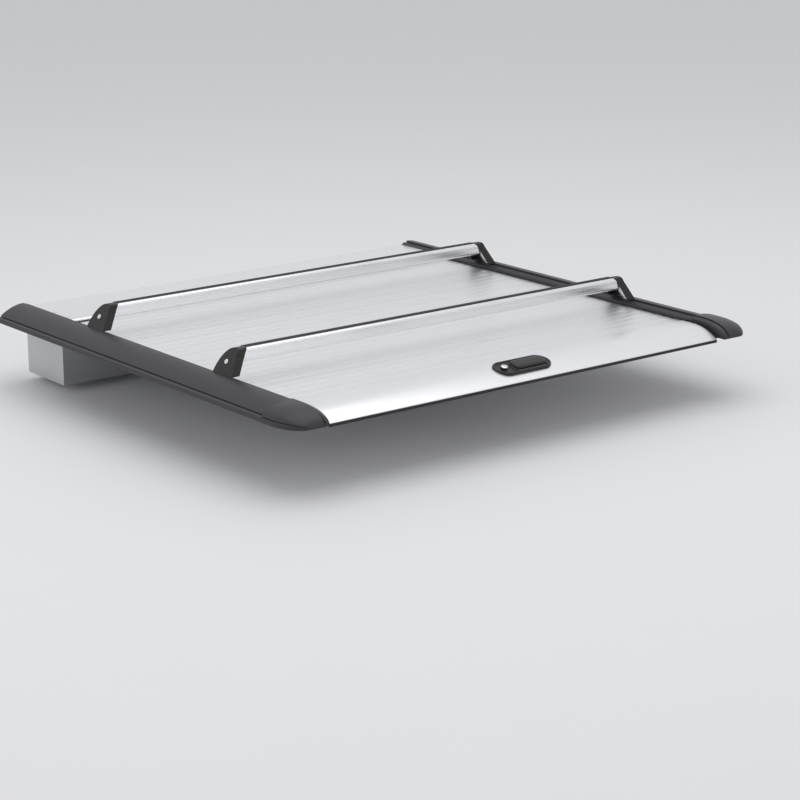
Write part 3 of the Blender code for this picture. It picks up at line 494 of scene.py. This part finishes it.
# %% Geometry Nodes: repeat along a line
def repeat_tree():
    tree = bpy.data.node_groups.new("repeat_along_line", "GeometryNodeTree")
    tree.interface.new_socket("Geometry", in_out="OUTPUT", socket_type="NodeSocketGeometry")
    for title, kind in (("Piece", "Object"), ("Count", "Int"), ("Step", "Vector"), ("Finish", "Material")):
        tree.interface.new_socket(title, in_out="INPUT", socket_type=f"NodeSocket{kind}")
    nodes, links = tree.nodes, tree.links
    given = nodes.new("NodeGroupInput")
    result = nodes.new("NodeGroupOutput")
    line = nodes.new("GeometryNodeMeshLine")
    shape = nodes.new("GeometryNodeObjectInfo")
    place = nodes.new("GeometryNodeInstanceOnPoints")
    real = nodes.new("GeometryNodeRealizeInstances")
    coat = nodes.new("GeometryNodeSetMaterial")
    links.new(given.outputs["Count"], line.inputs["Count"])
    links.new(given.outputs["Step"], line.inputs["Offset"])
    links.new(given.outputs["Piece"], shape.inputs["Object"])
    links.new(line.outputs["Mesh"], place.inputs["Points"])
    links.new(shape.outputs["Geometry"], place.inputs["Instance"])
    links.new(place.outputs["Instances"], real.inputs["Geometry"])
    links.new(real.outputs["Geometry"], coat.inputs["Geometry"])
    links.new(given.outputs["Finish"], coat.inputs["Material"])
    links.new(coat.outputs["Geometry"], result.inputs["Geometry"])
    return tree


REPEAT = repeat_tree()


def repeat(name, piece, count, step, material):
    """The piece, count times, a step apart, as one plain mesh."""
    carrier = bpy.data.objects.new(name, bpy.data.meshes.new(name))
    bpy.context.scene.collection.objects.link(carrier)
    modifier = carrier.modifiers.new("repeat", "NODES")
    modifier.node_group = REPEAT
    values = {"Piece": piece, "Count": count, "Step": step, "Finish": material}
    for item in REPEAT.interface.items_tree:
        if item.in_out == "INPUT":
            modifier[item.identifier] = values[item.name]
    bpy.context.view_layer.update()
    depsgraph = bpy.context.evaluated_depsgraph_get()
    mesh = bpy.data.meshes.new_from_object(carrier.evaluated_get(depsgraph))
    carrier.modifiers.clear()
    carrier.data = mesh
    bpy.data.objects.remove(piece)
    return carrier


curtain = repeat("slat_curtain", slat, SLAT_COUNT, (0.0, SLAT_PITCH, 0.0), ALUMINIUM_SLAT)
dress(curtain, ALUMINIUM_SLAT, "curtain", [f"slat_{n:02d}" for n in range(1, SLAT_COUNT + 1)], 0)


# %% [markdown]
# The leader sheet ties the last slat to the drum. Its CAD shape is right, so a merged copy is
# enough.

# %% A merged copy of a CAD piece
def merged_copy(node, name):
    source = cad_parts[node]
    piece = bpy.data.objects.new(name, source.data.copy())
    bpy.context.scene.collection.objects.link(piece)
    bm = bmesh.new()
    bm.from_mesh(piece.data)
    bmesh.ops.remove_doubles(bm, verts=bm.verts, dist=0.00001)
    bmesh.ops.dissolve_limit(bm, angle_limit=math.radians(1.0), verts=bm.verts, edges=bm.edges)
    bm.to_mesh(piece.data)
    bm.free()
    return piece


leader = merged_copy("leader_sheet", "leader")
dress(leader, SPRING_STEEL, "curtain", ["leader_sheet"], 0)
for piece in (curtain, leader):
    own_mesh(piece)

# %% [markdown]
# ## End board
#
# The last and widest slat is an extrusion of its own: flat on top, then bent down to the
# tailgate in one even arc. An opening under the handle lets the lever's finger through. The
# rubber seal keeps its CAD shape with softer edges, and its two corners are trimmed level with the
# foot of the rails.

# %% End board and seal
BOARD_TOP = BOARD_HIGH.z
NOSE_START = 0.100
NOSE_DROP = BOARD_TOP + 0.001
NOSE_RADIUS = (NOSE_START ** 2 + NOSE_DROP ** 2) / (2 * NOSE_DROP)


def board_height(y, inset=0.0):
    if y >= NOSE_START:
        return BOARD_TOP - inset
    return BOARD_TOP - NOSE_RADIUS + math.sqrt((NOSE_RADIUS - inset) ** 2 - (NOSE_START - y) ** 2)


def board_section():
    front = 0.1565
    edge = SLAT_LOW.z + 0.0078
    hook = edge - 0.0038
    steps = 30
    section = [(front + TONGUE, SLAT_LOW.z), (front + TONGUE, hook), (front, hook), (front, edge),
               (front - 0.004, BOARD_TOP - 0.0022), (front - 0.009, BOARD_TOP - 0.0003),
               (front - 0.013, BOARD_TOP)]
    rearward = [NOSE_START * (1 - i / steps) for i in range(steps)] + [0.0006]
    section += [(y, board_height(y)) for y in rearward]
    section += [(0.0, board_height(0.0) - 0.0008), (0.0004, board_height(0.0) - 0.0030),
                (0.0025, board_height(0.0025) - SKIN)]
    forward = [0.006 + (NOSE_START - 0.006) * i / steps for i in range(steps + 1)]
    section += [(y, board_height(y, SKIN)) for y in forward]
    section += [(front - 0.022, BOARD_TOP - SKIN), (front - 0.022, SLAT_LOW.z)]
    return section


HANDLE_Y = 0.060
HANDLE_TILT = math.radians(13.0)
HANDLE = Matrix.Translation((0, HANDLE_Y, board_height(HANDLE_Y))) @ Matrix.Rotation(HANDLE_TILT, 4, "X")
HANDLE_SIZE = (0.200, 0.074)
LEVER_X, LEVER_SIZE, LEVER_CORNER = 0.024, (0.118, 0.048), 0.016
KEY_X, KEY_HOLE = -0.066, 0.0105
board = push("bent_end_board", board_section(), "X", BOARD_LOW.x, BOARD_HIGH.x)
opening = block("opening", (KEY_X - 0.0135, -0.025, -0.05), (LEVER_X + 0.061, 0.025, 0.05))
opening.data.transform(HANDLE)
carve(board, opening)
dress(board, ALUMINIUM_BOARD, "curtain", ["end_board"], 0.0005)
seal = merged_copy("end_board_seal", "tailgate_seal")
for side in SIDES.values():
    low, high = sorted((side * (BOARD_HIGH.x - 0.001), side * (BOARD_HIGH.x + 0.03)))
    carve(seal, block("trim", (low, -0.02, -0.03), (high, 0.03, 0.0)))
dress(seal, RUBBER, "curtain", ["end_board_seal"], 0.0008)


# %% [markdown]
# ## Handle
#
# The handle is a moulded oval dish with a raised rim, a lift lever that fills its right two
# thirds and a key barrel on a post at its left. The dish is stacked from ovals: out and up over
# the rim, then down to the floor. It is built flat and laid on the end board by one matrix.

# %% Ovals and the dish
def oval(length, depth, height, steps=20):
    radius, straight = depth / 2, (length - depth) / 2
    points = arc((straight, 0), radius, -90, 90, steps) + arc((-straight, 0), radius, 90, 270, steps)
    return [(x, y, height) for x, y in points]


def rounded(length, depth, radius, centre, height, steps=8):
    points = []
    for sx, sy, start in ((1, -1, -90), (1, 1, 0), (-1, 1, 90), (-1, -1, 180)):
        corner = (centre + sx * (length / 2 - radius), sy * (depth / 2 - radius))
        points += arc(corner, radius, start, start + 90, steps)
    return [(x, y, height) for x, y in points]


RIM = ((0.0, -0.0058), (0.0, 0.0010), (0.0006, 0.0032), (0.0018, 0.0048), (0.0034, 0.0054), (0.0050, 0.0050),
       (0.0062, 0.0038), (0.0072, 0.0020), (0.0090, 0.0010), (0.0120, 0.0006))
dish = stack("handle_dish", [oval(HANDLE_SIZE[0] - 2 * inset, HANDLE_SIZE[1] - 2 * inset, up)
                             for inset, up in RIM])
pocket = stack("pocket", [rounded(LEVER_SIZE[0], LEVER_SIZE[1], LEVER_CORNER, LEVER_X, up)
                          for up in (-0.03, 0.03)])
carve(dish, pocket)
shaft = stack("shaft", [[(KEY_X + x, y, up) for x, y in arc((0, 0), KEY_HOLE, 0, 348.75, 31)]
                        for up in (-0.03, 0.03)])
carve(dish, shaft)
dish.data.transform(HANDLE)


def split_wide_faces(piece):
    """Divide faces of five sides or more once, so that the division is the same in every pose."""
    split = piece.modifiers.new("split", "TRIANGULATE")
    split.min_vertices = 5
    split.keep_custom_normals = True


split_wide_faces(dress(dish, MOULDED_BLACK, "curtain", ["handle_bezel"], 0.0003))

# %% Lever with its finger
LEVER_RINGS = ((0.0003, 0.0012), (0.0003, 0.0060), (0.0009, 0.0078), (0.0022, 0.0092), (0.0042, 0.0101),
               (0.0080, 0.0109), (0.0150, 0.0114))
lever = stack("lift_lever", [rounded(LEVER_SIZE[0] - 2 * inset, LEVER_SIZE[1] - 0.001 - 2 * inset,
                                     LEVER_CORNER - min(inset, 0.0150), LEVER_X, up) for inset, up in LEVER_RINGS])
lever.data.transform(Matrix.Translation((0, 0.0005, 0)))
finger = block("finger", (LEVER_X - 0.012, 0.010, -0.014), (LEVER_X + 0.012, 0.015, 0.004))
carve(lever, finger, "UNION")
lever.data.transform(HANDLE)
split_wide_faces(dress(lever, MOULDED_BLACK, "lever", ["handle_lever"], 0.0003))

# %% Key barrel: a black post with a chrome cap and a key slot
POST = ((0.0101, -0.012), (0.0101, 0.0052), (0.0096, 0.0056))
CAP_RINGS = ((0.0090, 0.0056), (0.0102, 0.0060), (0.0102, 0.0085), (0.0096, 0.0095), (0.0082, 0.0101),
             (0.0045, 0.0104))


def turned(name, rings, centre, sides=40):
    circle = 360 - 360 / sides
    return stack(name, [[(centre + x, y, up) for x, y in arc((0, 0), radius, 0, circle, sides - 1)]
                        for radius, up in rings])


post = turned("key_post", POST, KEY_X)
post.data.transform(HANDLE)
dress(post, MOULDED_BLACK, "key", (), 0.0002)
key_cap = turned("key_cap", CAP_RINGS, KEY_X)
carve(key_cap, block("slot", (KEY_X - 0.0008, -0.0040, 0.0088), (KEY_X + 0.0008, 0.0040, 0.02)))
key_cap.data.transform(HANDLE)
dress(key_cap, CHROME, "key", ["key_cylinder"], 0.0001)

# %% [markdown]
# ## Canister
#
# The lid is a folded sheet with a rolled rear edge, smoother than the slats. Near each end two
# short slots show where its clips catch in the rails. Tub, drum, spring and latch rods keep
# their CAD shapes, merged and with softened edges.

# %% Lid and what hangs below it
LID_LOW, LID_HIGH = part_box("canister_lid")


def lid_section():
    top, under, skin = LID_HIGH.z, 0.0285, 0.003
    radius = top - under
    rear = LID_LOW.y
    section = arc((rear + radius, under), radius, 180, 90, 14)
    section += arc((LID_HIGH.y - 0.004, top - 0.004), 0.004, 90, 0, 6)
    section += [(LID_HIGH.y, 0.0), (LID_HIGH.y - 0.0025, 0.0), (LID_HIGH.y - 0.0025, top - 0.005),
                (LID_HIGH.y - 0.005, top - skin)]
    return section + arc((rear + radius, under), radius - skin, 90, 180, 10)


lid = push("canister_top", lid_section(), "X", LID_LOW.x, LID_HIGH.x)
for side in SIDES.values():
    for clip_y in (1.322, 1.402):
        carve(lid, block("clip_slot", (side * (INNER - 0.010) - 0.0065, clip_y, LID_HIGH.z - 0.004),
                         (side * (INNER - 0.010) + 0.0065, clip_y + 0.004, LID_HIGH.z + 0.01)))
dress(lid, ALUMINIUM_LID, "frame", ["canister_lid"], 0.0004)
dress(merged_copy("canister_tub", "drum_tub"), ALUMINIUM_MILL, "frame", ["canister_tub"], 0.0006)
dress(merged_copy("drum", "winding_drum"), ALUMINIUM_MILL, "drum", ["drum"], 0.0004)
dress(merged_copy("return_spring", "torsion_spring"), SPRING_STEEL, "drum", ["return_spring"], 0)
for side_name in SIDES:
    rod = merged_copy(f"{side_name}_latch_rod", f"{side_name}_bolt")
    dress(rod, ZINC, f"{side_name}_rod", [f"{side_name}_latch_rod"], 0.0008)

# %% [markdown]
# ## Load bars
#
# A bar is a drawn aluminium section: a bright rounded rear shoulder, two fine grooves under it,
# a flat web and a seat for a ribbed rubber strip on top. Its ends sit in moulded covers shaped
# like a fin, with a roll that carries on the bar's shoulder and a joint line under it, and a
# small lock in the outer face.

# %% Bar section
BAR_RADIUS = 0.009
COVER_LEAN = 0.57
COVER_BASE = CREST + 0.0003
COVER_OUTER = SLOT_OUT + CREST_FLAT
COVER_THICK = 0.028
JOINT_HEIGHT = 0.099


def bar_section(place):
    low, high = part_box(f"{place}_bar")
    top, bottom, rear, front = high.z, low.z, low.y, high.y
    strip_low, strip_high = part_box(f"{place}_bar_strip")
    seat_rear, seat_front = strip_low.y - 0.0003, strip_high.y + 0.0003
    section = [(rear, bottom + 0.006), (rear, bottom + 0.010), (rear + 0.0006, bottom + 0.0104), (rear, bottom + 0.0108)]
    for drop in (0.0165, 0.0120):
        section += [(rear, top - drop), (rear + 0.0009, top - drop + 0.0005), (rear, top - drop + 0.0010)]
    section += arc((rear + BAR_RADIUS, top - BAR_RADIUS), BAR_RADIUS, 180, 90, 14)
    section += [(seat_rear, top), (seat_rear, top - 0.004), (seat_front, top - 0.004), (seat_front, top - 0.001)]
    section += [(front - 0.007, top - 0.0028), (front - 0.003, top - 0.006), (front - 0.0006, top - 0.010),
                (front, top - 0.014), (front - 0.001, bottom + 0.005)]
    section += arc((front - 0.0065, bottom + 0.005), 0.005, -15, -90, 5)
    section += arc((rear + 0.006, bottom + 0.006), 0.006, 270, 190, 6)
    return section


def strip_section(place):
    low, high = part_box(f"{place}_bar_strip")
    section = [(low.y, low.z), (low.y, high.z - 0.0007)]
    ribs = 5
    pitch = (high.y - low.y - 0.002) / ribs
    for i in range(ribs):
        start = low.y + 0.001 + i * pitch
        section += [(start + 0.0003, high.z - 0.0005), (start + 0.0007, high.z), (start + pitch - 0.0004, high.z)]
    return section + [(high.y, high.z - 0.0007), (high.y, low.z)]


def cut_to_lean(bar):
    """Slant both ends of a bar, so that they follow the covers' inner faces."""
    for vertex in bar.data.vertices:
        side = math.copysign(1.0, vertex.co.x)
        reach = INNER + COVER_OUTER - COVER_THICK - COVER_LEAN * (vertex.co.z - COVER_BASE)
        vertex.co.x = side * (reach - 0.0004)
    return bar


def make_bar(place):
    low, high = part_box(f"{place}_bar")
    bar = cut_to_lean(push(f"{place}_load_bar", bar_section(place), "X", low.x, high.x))
    dress(bar, ALUMINIUM_BAR, f"{place}_load_bar", [f"{place}_bar"], 0.0002)
    strip = push(f"{place}_rubber_strip", strip_section(place), "X", low.x, high.x)
    dress(strip, RUBBER, f"{place}_load_bar", [f"{place}_bar_strip"], 0.0001)


# %% Fin covers
def fin_outline(place, inset):
    low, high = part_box(f"{place}_right_cover")
    rear, front, top = low.y + inset, high.y - inset, high.z - inset
    base = COVER_BASE if inset == 0 else COVER_BASE - 0.02
    rear_top = low.y + 0.0180 + inset
    outline = [(rear, base), (rear_top - 0.0005, top - 0.013)]
    outline += arc((rear_top + 0.0085, top - 0.0085), 0.0085, 172, 90, 8)
    middle = (low.y + high.y) / 2 - 0.0095
    outline += arc((middle, COVER_BASE), (front - middle, top - COVER_BASE), 88, 0, 26)
    if inset:
        outline.append((front, base))
    return outline


def leaned(piece, side):
    for vertex in piece.data.vertices:
        vertex.co.x -= side * COVER_LEAN * (vertex.co.z - COVER_BASE)
    return piece


def make_cover(place, side_name):
    side = SIDES[side_name]
    outer = INNER + COVER_OUTER
    cover = push(f"{place}_{side_name}_fin", fin_outline(place, 0.0), "X",
                 side * outer, side * (outer - COVER_THICK))
    hollow = push("hollow", fin_outline(place, 0.003), "X",
                  side * (outer - 0.003), side * (outer - COVER_THICK - 0.01))
    carve(leaned(cover, side), leaned(hollow, side))
    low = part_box(f"{place}_{side_name}_cover")[0]
    line = block("joint_line", (side * (INNER - 0.03) - 0.05, low.y, JOINT_HEIGHT),
                 (side * (INNER - 0.03) + 0.05, low.y + 0.0172, JOINT_HEIGHT + 0.0011))
    carve(cover, line)
    lock_low, lock_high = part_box(f"{place}_{side_name}_lock")
    centre = (lock_low + lock_high) / 2
    turn = Matrix.Rotation(side * (math.pi / 2 - math.atan(COVER_LEAN)), 4, "Y")
    hole = stack("hole", [[(x, y, up) for x, y in arc((0, 0), 0.0075, 0, 348.75, 31)]
                          for up in (-0.012, 0.012)])
    hole.data.transform(Matrix.Translation(centre) @ turn)
    carve(cover, hole)
    dress(cover, MOULDED_BLACK, f"{place}_load_bar", [f"{place}_{side_name}_cover"], 0.0008)
    foot = merged_copy(f"{place}_{side_name}_bracket", f"{place}_{side_name}_foot")
    dress(foot, ALUMINIUM_BAR, f"{place}_load_bar", [f"{place}_{side_name}_bracket"], 0.0006)
    lock = merged_copy(f"{place}_{side_name}_lock", f"{place}_{side_name}_barrel")
    dress(lock, CHROME, f"{place}_{side_name}_lock", [f"{place}_{side_name}_lock"], 0.0003)


for place in ("rear", "front"):
    make_bar(place)
    for side_name in SIDES:
        make_cover(place, side_name)

# %% [markdown]
# ## Check the size
#
# The dressed model has to stay inside the frame's box.

# %% Sizes
visual_box = [list(corner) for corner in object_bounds()]
differences = [abs(a - b) for c, d in zip(cad_box, visual_box) for a, b in zip(c, d)]
print("largest difference", max(differences))
